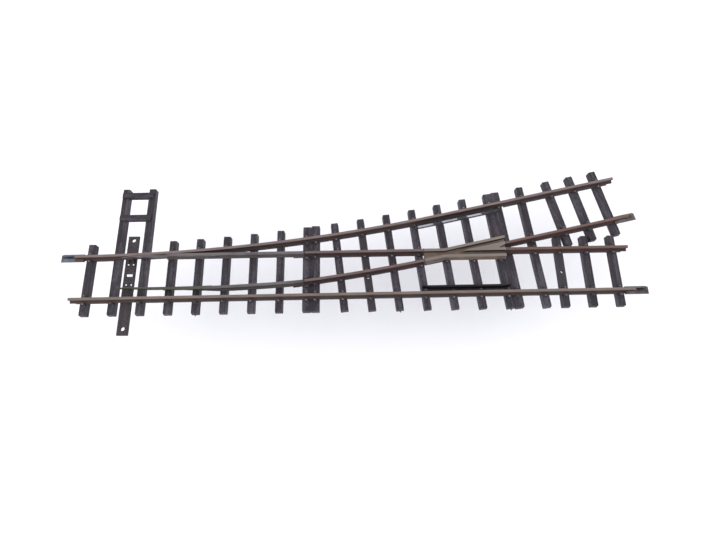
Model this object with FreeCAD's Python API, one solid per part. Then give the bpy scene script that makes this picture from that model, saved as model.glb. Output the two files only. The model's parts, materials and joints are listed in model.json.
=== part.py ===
import FreeCAD, Part
import math
import os
from collections import namedtuple

Vector = FreeCAD.Vector

# A left-hand turnout for 12 mm gauge model track. Lengths are millimetres.
# X runs along the straight route from the toe joint to the heel, Y points to the diverging side, Z is up.
# The origin is under the toe joint, on the straight route's centre line, at the sleepers' underside.

# Track plan
GAUGE = 12.0
CURVE_RADIUS = 515.0
FROG_ANGLE = 12.0
STRAIGHT_LENGTH = 159.0
DIVERGING_TAIL = 53.9
FLANGEWAY = 1.1

# Rail section
HEAD_WIDTH = 0.8
RAIL_HEIGHT = 1.8
HEAD_CORNER = 0.14
HEAD_DEPTH = 0.42
HEAD_SLOPE = 0.13
WEB_WIDTH = 0.36
FOOT_WIDTH = 1.7
FOOT_EDGE = 0.28
FOOT_RISE = 0.45

# Sleepers
SLEEPER_LENGTH = 21.5
SLEEPER_WIDTH = 2.35
SLEEPER_TOP_WIDTH = 1.95
SLEEPER_HEIGHT = 2.0
SLEEPER_PITCH = 7.83
TAIL_PITCH = 7.45
TAIL_END_GAP = 4.5
END_GAP = 3.7
TWIN_PITCH = 2.45
SLEEPER_BEVEL = 0.15
HEADBLOCK_END = 28.75
WEB_STRIP_WIDTH = 1.3
WEB_STRIP_BOTTOM = 0.7
WEB_STRIP_END = 1.1
NAIL_HOLE_RADIUS = 0.45
CLOSURE_NAIL_Y = -0.95
HEEL_NAIL_Y = -0.3

# Rail clips moulded on the sleepers
CLIP_LENGTH = 1.1
CLIP_WIDTH = 0.45
CLIP_HEIGHT = 0.62
CLIP_LIP = 0.24
CLIP_LIP_CLEARANCE = 0.42

# Bridges between the two headblock sleepers
BRIDGE_WIDTH = 2.05
BRIDGE_TOP = 2.5
BRIDGE_BOTTOM = 1.2
BRIDGE_NEAR_EDGE = 18.05
BRIDGE_FAR_EDGE = 25.4
BRIDGE_OVERHANG = 0.85

# Throwbar
THROWBAR_WIDTH = 3.1
THROWBAR_THICKNESS = 0.8
THROWBAR_TOP = 1.75
THROWBAR_FAR_END = 13.2
THROWBAR_NEAR_END = -16.55
THROW = 2.45
FAR_DRIVE_HOLE_Y = 11.95
NEAR_DRIVE_HOLE_Y = -14.7
DRIVE_HOLE_RADIUS = 0.6
DRIVE_SLOT_Y = 1.12
DRIVE_SLOT_LENGTH = 1.9
DRIVE_SLOT_WIDTH = 0.95

# Blades and their heels
BLADE_TIP_X = 13.2
BLADE_HEEL_X = 65.5
BLADE_FOOT_START_X = 26.0
BLADE_TAPER_END_X = 32.0
BLADE_PLATE_END_X = 40.0
BLADE_TIP_EXTRA = 0.08
BLADE_TIP_TOP = 3.35
BLADE_SLOPE_LENGTH = 3.5
SLIDE_CLEARANCE = 0.03
STOCK_CLEARANCE = 0.06
FOOT_CLEARANCE = 0.08
PIVOT_X = 64.3
STUD_RADIUS = 0.27
STUD_CLEARANCE = 0.06
STUD_TOP = 2.33
STUD_HEAD_RADIUS = 0.6
STUD_HEAD_THICKNESS = 0.22
STRAP_START_X = 62.4
STRAP_END_X = 67.4
STRAP_WIDTH = 2.0
STRAP_THICKNESS = 0.28

# Fork clips that join the blades to the throwbar
FORK_SPREAD = 0.72
FORK_FINGER = 0.34
FORK_REACH = 1.25
FORK_PRONG = 0.4
FORK_WALL = 0.25
FORK_SLOT_LENGTH = 1.07
FORK_SLOT_CLEARANCE = 0.12
FORK_SLOT_WIDTH = 0.72
FORK_LIFT = 0.05
FORK_KNEE = 0.5

# Closure rails, frog and exit rails
CLOSURE_START_X = 65.85
FROG_TOE_X = 100.2
FROG_HEEL_X = 123.75
TOE_INSULATOR = 0.35
HEEL_INSULATOR = 0.5
FROG_PLATE_LEDGE = 0.35
FROG_NOTCH_LENGTH = 2.0
FROG_NOTCH_FLOOR = 3.0
FROG_NOSE_LEAD = 1.0
FROG_NOSE_RISE = 2.4
FROG_SINK = 0.1
INSULATOR_LEDGE = 0.05

# Check rails
CHECK_LENGTH = 25.2
CHECK_THICKNESS = 0.6
CHECK_FOOT = 0.85
CHECK_FOOT_THICKNESS = 0.2
CHECK_FLARE_LENGTH = 2.4
CHECK_FLARE = 0.45
STRAIGHT_CHECK_SHIFT = -0.4
CURVED_CHECK_SHIFT = -1.4

# Rail joiners and bond wires
JOINER_LENGTH = 6.8
JOINER_OVERHANG = 4.3
TOE_JOINER_OVERHANG = 4.6
SHORT_JOINER_OVERHANG = 2.6
JOINER_WALL = 0.22
JOINER_CLEARANCE = 0.02
JOINER_MOUTH = 0.42
JOINER_TONGUE = 0.7
BOND_RADIUS = 0.22
BOND_DEPTH = 0.55
BOND_CLEARANCE = 0.08

UP = Vector(0, 0, 1)
CENTRE = Vector(0, CURVE_RADIUS, 0)
RAIL_OFFSET = (GAUGE + HEAD_WIDTH) / 2
RAIL_BASE = SLEEPER_HEIGHT
RAIL_TOP = RAIL_BASE + RAIL_HEIGHT
OUTER_RADIUS = CURVE_RADIUS + RAIL_OFFSET
INNER_RADIUS = CURVE_RADIUS - RAIL_OFFSET
FAR_SLEEPER_RADIUS = CURVE_RADIUS - SLEEPER_LENGTH / 2
FROG_FLOOR = RAIL_TOP - FLANGEWAY

Sleeper = namedtuple("Sleeper", "x y tilt near_length far_length")


# ---- Plan geometry ----


def curve_y(radius, x):
    """Y of the diverging route's line of this radius, on the curve or on the straight tail after it."""
    end_x = radius * math.sin(math.radians(FROG_ANGLE))
    if x <= end_x:
        return CURVE_RADIUS - math.sqrt(radius**2 - x**2)
    end_y = CURVE_RADIUS - radius * math.cos(math.radians(FROG_ANGLE))
    return end_y + (x - end_x) * math.tan(math.radians(FROG_ANGLE))


def curve_angle(radius, x):
    """Angle in degrees about the curve's centre at which the line of this radius reaches x."""
    return math.degrees(math.asin(x / radius))


def curve_heading(radius, x):
    """Heading in degrees of the diverging route's line of this radius at x."""
    return min(FROG_ANGLE, curve_angle(radius, x))


def reach(x, y, tilt, radius):
    """Distance from (x, y) along a sleeper's axis to the diverging route's line of this radius."""
    dx = -math.sin(math.radians(tilt))
    dy = math.cos(math.radians(tilt))
    qx = x
    qy = y - CURVE_RADIUS
    along = qx * dx + qy * dy
    far = -along - math.sqrt(along**2 - (qx**2 + qy**2 - radius**2))
    if x + far * dx <= radius * math.sin(math.radians(FROG_ANGLE)):
        return far
    nx = -math.sin(math.radians(FROG_ANGLE))
    ny = math.cos(math.radians(FROG_ANGLE))
    line = CURVE_RADIUS * ny - radius
    return (line - nx * x - ny * y) / (nx * dx + ny * dy)


def on_axis(sleeper, distance):
    """Point of a sleeper's axis at a distance from its reference point."""
    angle = math.radians(sleeper.tilt)
    return Vector(sleeper.x - distance * math.sin(angle), sleeper.y + distance * math.cos(angle), 0)


# ---- Solids used by several parts ----


def box(x0, x1, y0, y1, z0, z1):
    """Box between two corners."""
    return Part.makeBox(x1 - x0, y1 - y0, z1 - z0, Vector(x0, y0, z0))


def plate(points, z0, z1):
    """Flat plate with a straight-sided outline."""
    corners = [Vector(x, y, z0) for x, y in points]
    return Part.Face(Part.makePolygon(corners + corners[:1])).extrude(Vector(0, 0, z1 - z0))


def section(points):
    """Closed section in the YZ plane at x = 0."""
    corners = [Vector(0, y, z) for y, z in points]
    return Part.Face(Part.makePolygon(corners + corners[:1]))


def rectangle(y0, y1, z0, z1):
    """Rectangular section in the YZ plane at x = 0."""
    return section([(y0, z0), (y1, z0), (y1, z1), (y0, z1)])


def rail_section(y, base=RAIL_BASE):
    """Flat-bottomed rail section with rounded head corners, its foot at the base and its head at rail top."""
    head = HEAD_WIDTH / 2
    web = WEB_WIDTH / 2
    foot = FOOT_WIDTH / 2
    shoulder = RAIL_TOP - HEAD_CORNER
    bend = HEAD_CORNER * (1 - math.sqrt(0.5))
    head_bottom = RAIL_TOP - HEAD_DEPTH

    def half(side):
        return [
            Vector(0, y + side * (head - HEAD_CORNER), RAIL_TOP),
            Vector(0, y + side * (head - bend), RAIL_TOP - bend),
            Vector(0, y + side * head, shoulder),
            Vector(0, y + side * head, head_bottom),
            Vector(0, y + side * web, head_bottom - HEAD_SLOPE),
            Vector(0, y + side * web, base + FOOT_RISE),
            Vector(0, y + side * foot, base + FOOT_EDGE),
            Vector(0, y + side * foot, base),
        ]

    left = half(-1)
    right = half(1)
    edges = []
    for side in (left, right):
        edges.append(Part.Arc(side[0], side[1], side[2]).toShape())
        edges += [Part.makeLine(a, b) for a, b in zip(side[2:], side[3:])]
    edges.append(Part.makeLine(left[0], right[0]))
    edges.append(Part.makeLine(left[-1], right[-1]))
    return Part.Face(Part.Wire(Part.__sortEdges__(edges)))


def along_straight(face, x0, x1):
    """Section swept along the straight route."""
    start = face.copy()
    start.translate(Vector(x0, 0, 0))
    return start.extrude(Vector(x1 - x0, 0, 0))


def along_curve(face, first_angle, last_angle):
    """Section swept round the diverging route's curve."""
    start = face.copy()
    start.rotate(CENTRE, UP, first_angle)
    return start.revolve(CENTRE, UP, last_angle - first_angle)


def along_tail(face, first, last):
    """Section swept along the straight tail after the curve."""
    body = along_straight(face, first, last)
    body.rotate(CENTRE, UP, FROG_ANGLE)
    return body


def along_diverging(face, first_angle=0.0, tail=DIVERGING_TAIL):
    """Section swept round the curve and on along the tail, as one solid."""
    curve = along_curve(face, first_angle, FROG_ANGLE)
    return curve.fuse(along_tail(face, 0, tail)).removeSplitter()


def between_x(shape, x0, x1):
    """The part of a shape that lies between two planes across the track."""
    return shape.common(box(x0, x1, -60, 80, -5, 10))


def placed(shape, x, y, heading):
    """Copy of a shape that is turned about the origin and then moved in plan."""
    copy = shape.copy()
    copy.rotate(Vector(0, 0, 0), UP, heading)
    copy.translate(Vector(x, y, 0))
    return copy


# ---- Sleeper bases ----


def sleeper_at(x, tilt, far_y=None):
    """Sleeper that crosses the straight stock rail at x and reaches the diverging track's far side."""
    near = (SLEEPER_LENGTH / 2 - RAIL_OFFSET) / math.cos(math.radians(tilt))
    far = reach(x, -RAIL_OFFSET, tilt, FAR_SLEEPER_RADIUS)
    if far_y is not None:
        far = far_y + RAIL_OFFSET
    return Sleeper(x, -RAIL_OFFSET, tilt, near, far)


def tail_sleeper_at(distance):
    """Sleeper square to the diverging tail, referred to the tail's outer rail."""
    angle = math.radians(FROG_ANGLE)
    x = distance * math.cos(angle) + OUTER_RADIUS * math.sin(angle)
    y = CURVE_RADIUS + distance * math.sin(angle) - OUTER_RADIUS * math.cos(angle)
    near = SLEEPER_LENGTH / 2 - RAIL_OFFSET
    return Sleeper(x, y, FROG_ANGLE, near, SLEEPER_LENGTH / 2 + RAIL_OFFSET)


def sleeper_solid(sleeper):
    """One sleeper with drafted sides and bevelled top edges."""
    side = SLEEPER_WIDTH / 2
    edge = SLEEPER_TOP_WIDTH / 2
    top = SLEEPER_HEIGHT
    outline = [
        (-side, 0),
        (side, 0),
        (edge, top - SLEEPER_BEVEL),
        (edge - SLEEPER_BEVEL, top),
        (SLEEPER_BEVEL - edge, top),
        (-edge, top - SLEEPER_BEVEL),
    ]
    corners = [Vector(x, -sleeper.near_length, z) for x, z in outline]
    face = Part.Face(Part.makePolygon(corners + corners[:1]))
    body = face.extrude(Vector(0, sleeper.near_length + sleeper.far_length, 0))
    return placed(body, sleeper.x, sleeper.y, sleeper.tilt)


def clip_solid(side, half_width, lip):
    """Moulded clip beside a rail's foot, with a lip over it where the foot is thin."""
    inner = side * half_width
    outer = side * (half_width + CLIP_WIDTH)
    half = CLIP_LENGTH / 2
    z0 = SLEEPER_HEIGHT - SLEEPER_BEVEL
    z1 = SLEEPER_HEIGHT + CLIP_HEIGHT
    clip = box(-half, half, min(inner, outer), max(inner, outer), z0, z1)
    if lip:
        tip = side * (half_width - CLIP_LIP)
        z0 = SLEEPER_HEIGHT + CLIP_LIP_CLEARANCE
        clip = clip.fuse(box(-half, half, min(inner, tip), max(inner, tip), z0, z1))
    return clip


def clips_on_straight(sleepers, y, sides=(-1, 1), half_width=FOOT_WIDTH / 2, lip=True):
    """Clips of a rail that is parallel to the straight route."""
    found = []
    for sleeper in sleepers:
        point = on_axis(sleeper, (y - sleeper.y) / math.cos(math.radians(sleeper.tilt)))
        found += [placed(clip_solid(side, half_width, lip), point.x, point.y, 0) for side in sides]
    return found


def clips_on_diverging(sleepers, radius, sides=(-1, 1), half_width=FOOT_WIDTH / 2, lip=True):
    """Clips of a rail that follows the diverging route."""
    found = []
    for sleeper in sleepers:
        point = on_axis(sleeper, reach(sleeper.x, sleeper.y, sleeper.tilt, radius))
        heading = curve_heading(radius, point.x)
        found += [placed(clip_solid(side, half_width, lip), point.x, point.y, heading) for side in sides]
    return found


def strip_section(y):
    """Section of the web strip that joins the sleepers under a rail."""
    return rectangle(y - WEB_STRIP_WIDTH / 2, y + WEB_STRIP_WIDTH / 2, WEB_STRIP_BOTTOM, SLEEPER_HEIGHT)


def straight_strip(y, x0, x1):
    """Web strip under a rail of the straight route."""
    return along_straight(strip_section(y), x0, x1)


def diverging_strip(y, x0, x1):
    """Web strip under a rail of the diverging route."""
    return between_x(along_diverging(strip_section(y)), x0, x1)


def joined(pieces):
    """One moulding out of overlapping pieces."""
    return pieces[0].multiFuse(pieces[1:]).removeSplitter()


TOE_SLEEPERS = [sleeper_at(END_GAP + i * SLEEPER_PITCH, 0) for i in range(9)]
for headblock in (1, 2):
    TOE_SLEEPERS[headblock] = sleeper_at(TOE_SLEEPERS[headblock].x, 0, HEADBLOCK_END)
THROWBAR_X = (TOE_SLEEPERS[1].x + TOE_SLEEPERS[2].x) / 2

CLOSURE_FIRST_X = TOE_SLEEPERS[-1].x + TWIN_PITCH
CLOSURE_SLEEPERS = [sleeper_at(CLOSURE_FIRST_X, 0)]
CLOSURE_SLEEPERS += [
    sleeper_at(CLOSURE_FIRST_X + i * SLEEPER_PITCH, FROG_ANGLE / 2) for i in range(1, 8)
]

HEEL_FIRST_X = CLOSURE_SLEEPERS[-1].x + TWIN_PITCH
WIDE_HEEL_SLEEPERS = [sleeper_at(HEEL_FIRST_X + i * SLEEPER_PITCH, FROG_ANGLE / 2) for i in range(2)]
STRAIGHT_HEEL_SLEEPERS = [
    sleeper_at(STRAIGHT_LENGTH - END_GAP - i * SLEEPER_PITCH, 0, SLEEPER_LENGTH / 2) for i in (2, 1, 0)
]
TAIL_SLEEPERS = [tail_sleeper_at(DIVERGING_TAIL - TAIL_END_GAP - i * TAIL_PITCH) for i in (2, 1, 0)]


def toe_sleeper_base():
    """Moulding from the toe joint to the blades' heels, with the bridged headblock sleepers."""
    first = TOE_SLEEPERS[0]
    last = TOE_SLEEPERS[-1]
    near_headblock = TOE_SLEEPERS[1]
    far_headblock = TOE_SLEEPERS[2]
    pieces = [sleeper_solid(sleeper) for sleeper in TOE_SLEEPERS]
    pieces.append(straight_strip(-RAIL_OFFSET, WEB_STRIP_END, near_headblock.x))
    pieces.append(straight_strip(-RAIL_OFFSET, far_headblock.x, last.x))
    for x0, x1 in ((first.x, near_headblock.x), (far_headblock.x, last.x)):
        pieces.append(diverging_strip(RAIL_OFFSET, x0, x1))
    for y in (BRIDGE_NEAR_EDGE, BRIDGE_FAR_EDGE):
        x0 = near_headblock.x - BRIDGE_OVERHANG
        x1 = far_headblock.x + BRIDGE_OVERHANG / 2
        pieces.append(box(x0, x1, y, y + BRIDGE_WIDTH, BRIDGE_BOTTOM, BRIDGE_TOP))
    pieces += clips_on_straight([first, last], -RAIL_OFFSET)
    pieces += clips_on_diverging([first, last], INNER_RADIUS)
    pieces += clips_on_straight(TOE_SLEEPERS[1:-1], -RAIL_OFFSET, sides=(-1,))
    pieces += clips_on_diverging(TOE_SLEEPERS[1:-1], INNER_RADIUS, sides=(1,))
    pieces += clips_on_straight([last], RAIL_OFFSET)
    pieces += clips_on_diverging([last], OUTER_RADIUS)
    base = joined(pieces)
    for strap in heel_straps():
        base = base.cut(strap)
    return base


def closure_sleeper_base():
    """Moulding under the closure rails and the frog."""
    first = CLOSURE_SLEEPERS[0]
    last = CLOSURE_SLEEPERS[-1]
    before_frog = CLOSURE_SLEEPERS[:5]
    under_frog = CLOSURE_SLEEPERS[5:]
    pieces = [sleeper_solid(sleeper) for sleeper in CLOSURE_SLEEPERS]
    pieces.append(straight_strip(-RAIL_OFFSET, first.x, last.x))
    pieces.append(straight_strip(RAIL_OFFSET, first.x, last.x - 2))
    pieces.append(diverging_strip(-RAIL_OFFSET, first.x, last.x - 2))
    pieces.append(diverging_strip(RAIL_OFFSET, first.x, last.x - 3))
    pieces += clips_on_straight(CLOSURE_SLEEPERS, -RAIL_OFFSET)
    pieces += clips_on_diverging(CLOSURE_SLEEPERS, INNER_RADIUS)
    pieces += clips_on_straight(before_frog, RAIL_OFFSET)
    pieces += clips_on_diverging(before_frog, OUTER_RADIUS)
    pieces += clips_on_straight(under_frog, FROG_SOUTH_EDGE, (-1,), 0, False)
    pieces += clips_on_diverging(under_frog, FROG_NORTH_RADIUS, (1,), 0, False)
    base = joined(pieces)
    for envelope in bond_wires(BOND_RADIUS + BOND_CLEARANCE):
        base = base.cut(envelope)
    for groove in bond_grooves():
        base = base.cut(groove)
    return base.cut(nail_hole(CLOSURE_SLEEPERS[2], CLOSURE_NAIL_Y))


def heel_sleeper_base():
    """Moulding behind the frog, where the two tracks part."""
    wide = WIDE_HEEL_SLEEPERS
    straight = STRAIGHT_HEEL_SLEEPERS
    tail = TAIL_SLEEPERS
    pieces = [sleeper_solid(sleeper) for sleeper in wide + straight + tail]
    pieces.append(straight_strip(-RAIL_OFFSET, wide[0].x, straight[-1].x))
    pieces.append(straight_strip(RAIL_OFFSET, wide[0].x, STRAIGHT_LENGTH - WEB_STRIP_END))
    pieces.append(diverging_strip(-RAIL_OFFSET, wide[0].x, tail[-1].x))
    tail_strip = along_diverging(strip_section(RAIL_OFFSET), tail=DIVERGING_TAIL - WEB_STRIP_END)
    pieces.append(between_x(tail_strip, wide[0].x - 1, 2 * STRAIGHT_LENGTH))
    pieces += clips_on_straight(wide + straight, -RAIL_OFFSET)
    pieces += clips_on_straight(wide[1:] + straight, RAIL_OFFSET)
    pieces += clips_on_diverging(wide + tail, INNER_RADIUS)
    pieces += clips_on_diverging(wide[1:] + tail[:-1], OUTER_RADIUS)
    base = joined(pieces)
    base = base.cut(diverging_joiner_envelope())
    return base.cut(nail_hole(straight[0], HEEL_NAIL_Y))


def nail_hole(sleeper, y):
    """Hole for a track nail on a sleeper's axis, near the straight route's centre line."""
    point = on_axis(sleeper, (y - sleeper.y) / math.cos(math.radians(sleeper.tilt)))
    return Part.makeCylinder(NAIL_HOLE_RADIUS, SLEEPER_HEIGHT + 2, Vector(point.x, point.y, -1))


# ---- Stock, closure and exit rails ----


def straight_stock_rail():
    """Unbroken rail on the straight route's outer side."""
    return along_straight(rail_section(-RAIL_OFFSET), 0, STRAIGHT_LENGTH)


def curved_stock_rail():
    """Unbroken rail on the diverging route's inner side."""
    return along_diverging(rail_section(RAIL_OFFSET))


def straight_closure_rail():
    """Rail from the straight blade's heel to the frog."""
    return along_straight(rail_section(RAIL_OFFSET), CLOSURE_START_X, FROG_TOE_X - TOE_INSULATOR)


def curved_closure_rail():
    """Rail from the curved blade's heel to the frog."""
    first_angle = curve_angle(OUTER_RADIUS, CLOSURE_START_X)
    return along_curve(rail_section(-RAIL_OFFSET), first_angle, TOE_INSULATOR_ANGLE)


def straight_exit_rail():
    """Rail of the straight route behind the frog."""
    return along_straight(rail_section(RAIL_OFFSET), FROG_HEEL_X + HEEL_INSULATOR, STRAIGHT_LENGTH)


def diverging_exit_rail():
    """Rail of the diverging route behind the frog."""
    rail = along_diverging(rail_section(-RAIL_OFFSET))
    return between_x(rail, FROG_HEEL_X + HEEL_INSULATOR, 2 * STRAIGHT_LENGTH)


# ---- Frog ----

GAUGE_FACE = GAUGE / 2
FROG_TOE_ANGLE = curve_angle(OUTER_RADIUS, FROG_TOE_X)
TOE_INSULATOR_ANGLE = FROG_TOE_ANGLE - math.degrees(TOE_INSULATOR / OUTER_RADIUS)
WING_SOUTH = GAUGE_FACE - FLANGEWAY - HEAD_WIDTH
FROG_SOUTH_EDGE = WING_SOUTH - FROG_PLATE_LEDGE
OUTER_GAUGE_RADIUS = CURVE_RADIUS + GAUGE_FACE
WING_OUTSIDE_RADIUS = OUTER_GAUGE_RADIUS - FLANGEWAY - HEAD_WIDTH
FROG_NORTH_RADIUS = WING_OUTSIDE_RADIUS - FROG_PLATE_LEDGE


def at_angle(radius, angle):
    """Point of the diverging route's line of this radius at an angle about the curve's centre."""
    turn = math.radians(angle)
    return radius * math.sin(turn), CURVE_RADIUS - radius * math.cos(turn)


def crossing_x(radius, y):
    """X where the diverging route's line of this radius reaches y, on the curve."""
    return math.sqrt(radius**2 - (CURVE_RADIUS - y) ** 2)


def frog_casting():
    """One-piece frog: floor plate, two wing rails and the vee."""
    knuckle = crossing_x(OUTER_RADIUS, WING_SOUTH + HEAD_WIDTH / 2)
    north_knuckle = crossing_x(WING_OUTSIDE_RADIUS + HEAD_WIDTH / 2, RAIL_OFFSET)
    half = HEAD_WIDTH / 2 + FROG_PLATE_LEDGE
    floor = plate(
        [
            at_angle(OUTER_RADIUS + half, FROG_TOE_ANGLE),
            (knuckle, FROG_SOUTH_EDGE),
            (FROG_HEEL_X, FROG_SOUTH_EDGE),
            (FROG_HEEL_X, curve_y(FROG_NORTH_RADIUS, FROG_HEEL_X)),
            (north_knuckle, RAIL_OFFSET + half),
            (FROG_TOE_X, RAIL_OFFSET + half),
            (FROG_TOE_X, RAIL_OFFSET - half),
            at_angle(OUTER_RADIUS - half, FROG_TOE_ANGLE),
        ],
        RAIL_BASE,
        FROG_FLOOR,
    )
    z = (FROG_FLOOR - FROG_SINK, RAIL_TOP)
    toe_face = rectangle(-RAIL_OFFSET - HEAD_WIDTH / 2, -RAIL_OFFSET + HEAD_WIDTH / 2, *z)
    south_toe = along_curve(toe_face, FROG_TOE_ANGLE, curve_angle(OUTER_RADIUS, knuckle))
    south_wing = box(knuckle - HEAD_WIDTH / 4, FROG_HEEL_X, WING_SOUTH, WING_SOUTH + HEAD_WIDTH, *z)
    north_toe = box(FROG_TOE_X, north_knuckle + HEAD_WIDTH / 4, GAUGE_FACE, GAUGE_FACE + HEAD_WIDTH, *z)
    wing_y = CURVE_RADIUS - WING_OUTSIDE_RADIUS
    north_wing = along_diverging(rectangle(wing_y - HEAD_WIDTH, wing_y, *z))
    north_wing = between_x(north_wing, north_knuckle, FROG_HEEL_X)
    return joined([floor, south_toe, south_wing, north_toe, north_wing, frog_vee(*z)])


def frog_vee(z0, z1):
    """The vee, with a thin nose that climbs from the floor and a notch between its legs at the heel."""
    nose_x = crossing_x(OUTER_GAUGE_RADIUS, GAUGE_FACE) - FROG_NOSE_LEAD
    heel_y = curve_y(OUTER_GAUGE_RADIUS, FROG_HEEL_X)
    side = [(nose_x, z0), (FROG_HEEL_X, z0), (FROG_HEEL_X, z1), (nose_x + FROG_NOSE_RISE, z1)]
    corners = [Vector(x, GAUGE_FACE, z) for x, z in side]
    vee = Part.Face(Part.makePolygon(corners + corners[:1])).extrude(Vector(0, heel_y, 0))
    outline = [(nose_x, GAUGE_FACE), (FROG_HEEL_X, GAUGE_FACE), (FROG_HEEL_X, heel_y)]
    vee = vee.common(plate(outline, z0 - 1, z1 + 1))
    notch_start = FROG_HEEL_X - FROG_NOTCH_LENGTH
    leg_top = GAUGE_FACE + HEAD_WIDTH
    leg_bottom = heel_y - HEAD_WIDTH
    notch = plate(
        [(notch_start, leg_top), (FROG_HEEL_X, leg_top), (FROG_HEEL_X, leg_bottom)],
        FROG_NOTCH_FLOOR,
        z1 + 1,
    )
    return vee.cut(notch)


def insulator_section(y):
    """Section of a plastic chip that fills a rail gap, in the rail's outline."""
    head = HEAD_WIDTH / 2 + INSULATOR_LEDGE
    foot = FOOT_WIDTH / 2
    waist = RAIL_BASE + FOOT_RISE
    return section(
        [
            (y - foot, RAIL_BASE),
            (y + foot, RAIL_BASE),
            (y + foot, waist),
            (y + head, waist),
            (y + head, RAIL_TOP),
            (y - head, RAIL_TOP),
            (y - head, waist),
            (y - foot, waist),
        ]
    )


def frog_toe_insulators():
    """The two chips between the closure rails and the frog."""
    return Part.makeCompound(
        [
            along_straight(insulator_section(RAIL_OFFSET), FROG_TOE_X - TOE_INSULATOR, FROG_TOE_X),
            along_curve(insulator_section(-RAIL_OFFSET), TOE_INSULATOR_ANGLE, FROG_TOE_ANGLE),
        ]
    )


def frog_heel_insulators():
    """The two chips between the frog and the exit rails."""
    x1 = FROG_HEEL_X + HEEL_INSULATOR
    return Part.makeCompound(
        [
            along_straight(insulator_section(RAIL_OFFSET), FROG_HEEL_X, x1),
            along_straight(insulator_section(curve_y(OUTER_RADIUS, x1)), FROG_HEEL_X, x1),
        ]
    )


# ---- Check rails ----


def check_section(face_y, side):
    """Check rail section: an upright strip with a foot that points away from the running rail."""
    back = face_y + side * CHECK_THICKNESS
    foot = face_y + side * CHECK_FOOT
    z1 = RAIL_BASE + CHECK_FOOT_THICKNESS
    return section(
        [(face_y, RAIL_BASE), (foot, RAIL_BASE), (foot, z1), (back, z1), (back, RAIL_TOP), (face_y, RAIL_TOP)]
    )


def flare_cuts(x0, x1, face_y, side):
    """Wedges that open the flangeway at both ends of a straight check rail."""
    cuts = []
    for end, inward in ((x0, 1), (x1, -1)):
        points = [
            (end - inward, face_y - side),
            (end + inward * CHECK_FLARE_LENGTH, face_y - side),
            (end + inward * CHECK_FLARE_LENGTH, face_y),
            (end, face_y + side * CHECK_FLARE),
            (end - inward, face_y + side * CHECK_FLARE),
        ]
        cuts.append(plate(points, RAIL_BASE - 1, RAIL_TOP + 1))
    return cuts


def straight_check_rail():
    """Check rail beside the straight stock rail, opposite the frog."""
    centre = (FROG_TOE_X + FROG_HEEL_X) / 2 + STRAIGHT_CHECK_SHIFT
    x0 = centre - CHECK_LENGTH / 2
    x1 = centre + CHECK_LENGTH / 2
    face_y = -GAUGE_FACE + FLANGEWAY
    rail = along_straight(check_section(face_y, 1), x0, x1)
    for cut in flare_cuts(x0, x1, face_y, 1):
        rail = rail.cut(cut)
    return rail


def curved_check_rail():
    """Check rail beside the curved stock rail, opposite the frog."""
    centre = (FROG_TOE_X + FROG_HEEL_X) / 2 + CURVED_CHECK_SHIFT
    x0 = centre - CHECK_LENGTH / 2
    x1 = centre + CHECK_LENGTH / 2
    face_y = GAUGE_FACE - FLANGEWAY
    rail = between_x(along_diverging(check_section(face_y, -1)), x0, x1)
    face_radius = CURVE_RADIUS - face_y
    for end, inward in ((x0, 1), (x1, -1)):
        points = [
            (-inward, 1),
            (inward * CHECK_FLARE_LENGTH, 1),
            (inward * CHECK_FLARE_LENGTH, 0),
            (0, -CHECK_FLARE),
            (-inward, -CHECK_FLARE),
        ]
        wedge = plate(points, RAIL_BASE - 1, RAIL_TOP + 1)
        rail = rail.cut(placed(wedge, end, curve_y(face_radius, end), curve_heading(face_radius, end)))
    return rail


# ---- Blades, heel straps and studs ----

PIVOT_Y_STRAIGHT = RAIL_OFFSET
PIVOT_Y_CURVED = curve_y(OUTER_RADIUS, PIVOT_X)
BLADE_BASE = RAIL_BASE + SLIDE_CLEARANCE
BLADE_LEVER = PIVOT_X - THROWBAR_X
OPEN_ANGLE = math.degrees(THROW / BLADE_LEVER)


def stock_envelopes(y):
    """Sections that a closed blade keeps clear of: the stock rail's foot and its head."""
    foot = FOOT_WIDTH / 2 + FOOT_CLEARANCE
    head = HEAD_WIDTH / 2 + STOCK_CLEARANCE
    waist = RAIL_BASE + FOOT_RISE + STOCK_CLEARANCE
    return [
        rectangle(y - foot, y + foot, RAIL_BASE - 0.5, waist),
        rectangle(y - head, y + head, waist - 0.01, RAIL_TOP + 0.5),
    ]


def tip_slope():
    """Wedge that lowers the top of a blade's tip."""
    end_x = BLADE_TIP_X + BLADE_SLOPE_LENGTH
    start_x = BLADE_TIP_X - 1
    drop = (RAIL_TOP - BLADE_TIP_TOP) / BLADE_SLOPE_LENGTH
    start_z = BLADE_TIP_TOP - drop
    above = RAIL_TOP + 1
    corners = [(start_x, start_z), (end_x, RAIL_TOP), (end_x, above), (start_x, above)]
    points = [Vector(x, -20, z) for x, z in corners]
    return Part.Face(Part.makePolygon(points + points[:1])).extrude(Vector(0, 40, 0))


def stud_socket(y):
    """Blind socket in a blade's foot for its heel stud."""
    radius = STUD_RADIUS + STUD_CLEARANCE
    return Part.makeCylinder(radius, STUD_TOP + 0.04 - RAIL_BASE + 1, Vector(PIVOT_X, y, RAIL_BASE - 1))


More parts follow.
